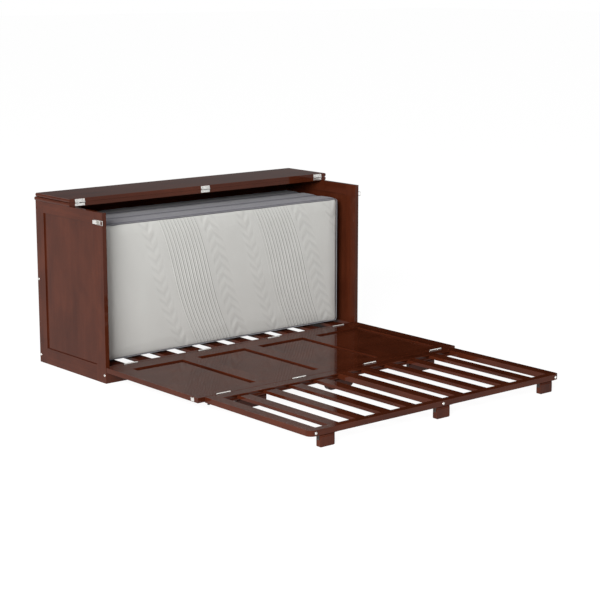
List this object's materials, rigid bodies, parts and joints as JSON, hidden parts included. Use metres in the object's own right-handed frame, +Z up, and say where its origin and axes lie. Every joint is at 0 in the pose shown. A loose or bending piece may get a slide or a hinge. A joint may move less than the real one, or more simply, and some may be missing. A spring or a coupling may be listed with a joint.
{
  "type": "cabinet bed",
  "caption": "opened-out wooden cabinet bed: low cabinet with a flap top and folded mattress, and a deck of a framed panel and a slatted section that folds up inside it",
  "frame": {"origin": "on the floor, under the middle of the opened bed's bounding box", "axes": "X along the cabinet's width, +Y from the bed's end to the cabinet's back, +Z up"},
  "size_m": [1.6592, 2.102, 0.8738],
  "materials": {
    "frame_wood": "semi-gloss lacquer over dark red-brown stain",
    "panel_wood": "semi-gloss lacquer over dark red-brown stain",
    "slat_wood": "satin lacquer over dark red-brown stain",
    "steel_fittings": "bright satin plating",
    "rubber_pads": "matt",
    "mattress_cover": "smooth woven cover, pale grey"
  },
  "bodies": {
    "cabinet": {"left_front_stile": "frame_wood", "left_back_stile": "frame_wood", "left_top_rail": "frame_wood", "left_bottom_rail": "frame_wood", "left_side_field": "panel_wood", "right_front_stile": "frame_wood", "right_back_stile": "frame_wood", "right_top_rail": "frame_wood", "right_bottom_rail": "frame_wood", "right_side_field": "panel_wood", "back_base_rail": "frame_wood", "back_middle_rail": "frame_wood", "back_top_rail": "frame_wood", "back_panels": "panel_wood", "base_front_rail": "frame_wood", "slat_ledgers": "slat_wood", "floor_slats": "slat_wood", "cabinet_bolts": "steel_fittings", "fixed_top_board": "frame_wood", "lid_hinge_fixed_leaves": "steel_fittings", "panel_hinge_fixed_leaves": "steel_fittings", "cabinet_hinge_pins": "steel_fittings", "latch_plates": "steel_fittings", "latch_pins": "steel_fittings", "mattress_front_fold": "mattress_cover", "mattress_middle_fold": "mattress_cover", "mattress_back_fold": "mattress_cover"},
    "lid": {"lid_board": "frame_wood", "lid_hinge_moving_leaves": "steel_fittings"},
    "front_panel": {"panel_left_stile": "frame_wood", "panel_right_stile": "frame_wood", "panel_hinge_rail": "frame_wood", "panel_far_rail": "frame_wood", "panel_mullions": "frame_wood", "panel_fields": "panel_wood", "panel_hinge_moving_leaves": "steel_fittings", "fold_hinge_panel_leaves": "steel_fittings", "fold_hinge_pins": "steel_fittings", "latch_strikes": "steel_fittings"},
    "slat_section": {"section_left_rail": "frame_wood", "section_right_rail": "frame_wood", "section_head_rail": "frame_wood", "section_foot_rail": "frame_wood", "section_centre_rail": "frame_wood", "section_slats": "slat_wood", "section_bolts": "steel_fittings", "corner_pads": "rubber_pads", "fold_hinge_section_leaves": "steel_fittings", "leg_brackets": "steel_fittings", "leg_pins": "steel_fittings"},
    "left_foot_leg": {"left_foot_leg": "frame_wood"},
    "centre_foot_leg": {"centre_foot_leg": "frame_wood"},
    "right_foot_leg": {"right_foot_leg": "frame_wood"},
    "left_middle_leg": {"left_middle_leg": "frame_wood"},
    "centre_middle_leg": {"centre_middle_leg": "frame_wood"},
    "right_middle_leg": {"right_middle_leg": "frame_wood"},
    "left_latch_lever": {"left_latch_lever": "steel_fittings"},
    "left_latch_loop": {"left_latch_loop": "steel_fittings"},
    "right_latch_lever": {"right_latch_lever": "steel_fittings"},
    "right_latch_loop": {"right_latch_loop": "steel_fittings"}
  },
  "joints": [
    {"name": "panel_hinge", "type": "hinge", "parent": "cabinet", "child": "front_panel", "pos_m": [0, 0.4372, 0.081], "axis": [-1, 0, 0], "range_deg": [0, 90]},
    {"name": "fold_hinge", "type": "hinge", "parent": "front_panel", "child": "slat_section", "pos_m": [0, -0.311, 0.081], "axis": [-1, 0, 0], "range_deg": [0, 180]},
    {"name": "lid_hinge", "type": "hinge", "parent": "cabinet", "child": "lid", "pos_m": [0, 0.7172, 0.8546], "axis": [1, 0, 0], "range_deg": [0, 180]},
    {"name": "left_foot_leg_pivot", "type": "hinge", "parent": "slat_section", "child": "left_foot_leg", "pos_m": [-0.686, -1.036, 0.041], "axis": [1, 0, 0], "range_deg": [0, 90]},
    {"name": "centre_foot_leg_pivot", "type": "hinge", "parent": "slat_section", "child": "centre_foot_leg", "pos_m": [0, -1.036, 0.041], "axis": [1, 0, 0], "range_deg": [0, 90]},
    {"name": "right_foot_leg_pivot", "type": "hinge", "parent": "slat_section", "child": "right_foot_leg", "pos_m": [0.686, -1.036, 0.041], "axis": [1, 0, 0], "range_deg": [0, 90]},
    {"name": "left_middle_leg_pivot", "type": "hinge", "parent": "slat_section", "child": "left_middle_leg", "pos_m": [-0.543, -0.341, 0.041], "axis": [-1, 0, 0], "range_deg": [0, 90]},
    {"name": "centre_middle_leg_pivot", "type": "hinge", "parent": "slat_section", "child": "centre_middle_leg", "pos_m": [0, -0.341, 0.041], "axis": [-1, 0, 0], "range_deg": [0, 90]},
    {"name": "right_middle_leg_pivot", "type": "hinge", "parent": "slat_section", "child": "right_middle_leg", "pos_m": [0.543, -0.341, 0.041], "axis": [-1, 0, 0], "range_deg": [0, 90]},
    {"name": "left_latch_pivot", "type": "hinge", "parent": "cabinet", "child": "left_latch_lever", "pos_m": [-0.8245, 0.48, 0.788], "axis": [0, 0, 1], "range_deg": [0, 90]},
    {"name": "left_loop_pivot", "type": "hinge", "parent": "left_latch_lever", "child": "left_latch_loop", "pos_m": [-0.8245, 0.489, 0.788], "axis": [0, 0, -1], "range_deg": [0, 90]},
    {"name": "right_latch_pivot", "type": "hinge", "parent": "cabinet", "child": "right_latch_lever", "pos_m": [0.8245, 0.48, 0.788], "axis": [0, 0, -1], "range_deg": [0, 90]},
    {"name": "right_loop_pivot", "type": "hinge", "parent": "right_latch_lever", "child": "right_latch_loop", "pos_m": [0.8245, 0.489, 0.788], "axis": [0, 0, 1], "range_deg": [0, 90]}
  ],
  "couplings": [
    {"joint": "left_loop_pivot", "follows": "left_latch_pivot", "ratio": 1},
    {"joint": "right_loop_pivot", "follows": "right_latch_pivot", "ratio": 1}
  ]
}
